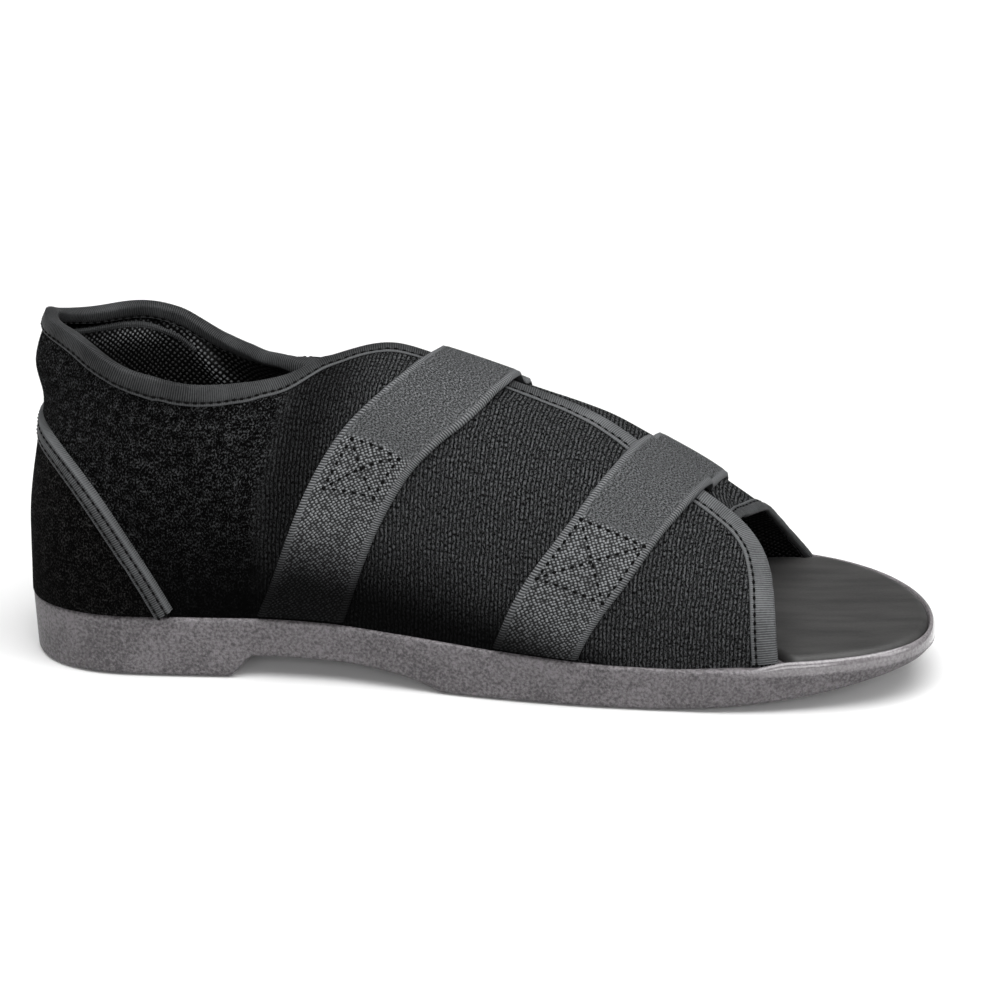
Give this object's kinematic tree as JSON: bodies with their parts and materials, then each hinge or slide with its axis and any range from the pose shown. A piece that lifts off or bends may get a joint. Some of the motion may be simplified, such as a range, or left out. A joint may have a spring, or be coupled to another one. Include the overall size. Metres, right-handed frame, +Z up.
{
  "type": "post operative shoe",
  "caption": "Open-toe post operative shoe with a wrap-over padded cloth upper, two hook-and-loop straps, a heel counter and a low heeled sole.",
  "frame": {"origin": "on the floor, in the middle of the heel's flat bottom", "axes": "+X towards the toe, +Y towards the little toe side of this left shoe, +Z up"},
  "size_m": [0.2858, 0.104, 0.1107],
  "materials": {
    "sole": "satin",
    "footbed": "satin",
    "upper_cloth": "matte",
    "counter_cloth": "matte",
    "binding_tape": "matte",
    "strap_webbing": "matte"
  },
  "bodies": {
    "root": {"outsole": "sole", "insole": "footbed", "upper": "upper_cloth", "heel_counter": "counter_cloth", "counter_binding": "binding_tape", "collar_binding": "binding_tape", "toe_binding": "binding_tape", "strap_rear": "strap_webbing", "strap_front": "strap_webbing"}
  },
  "joints": []
}
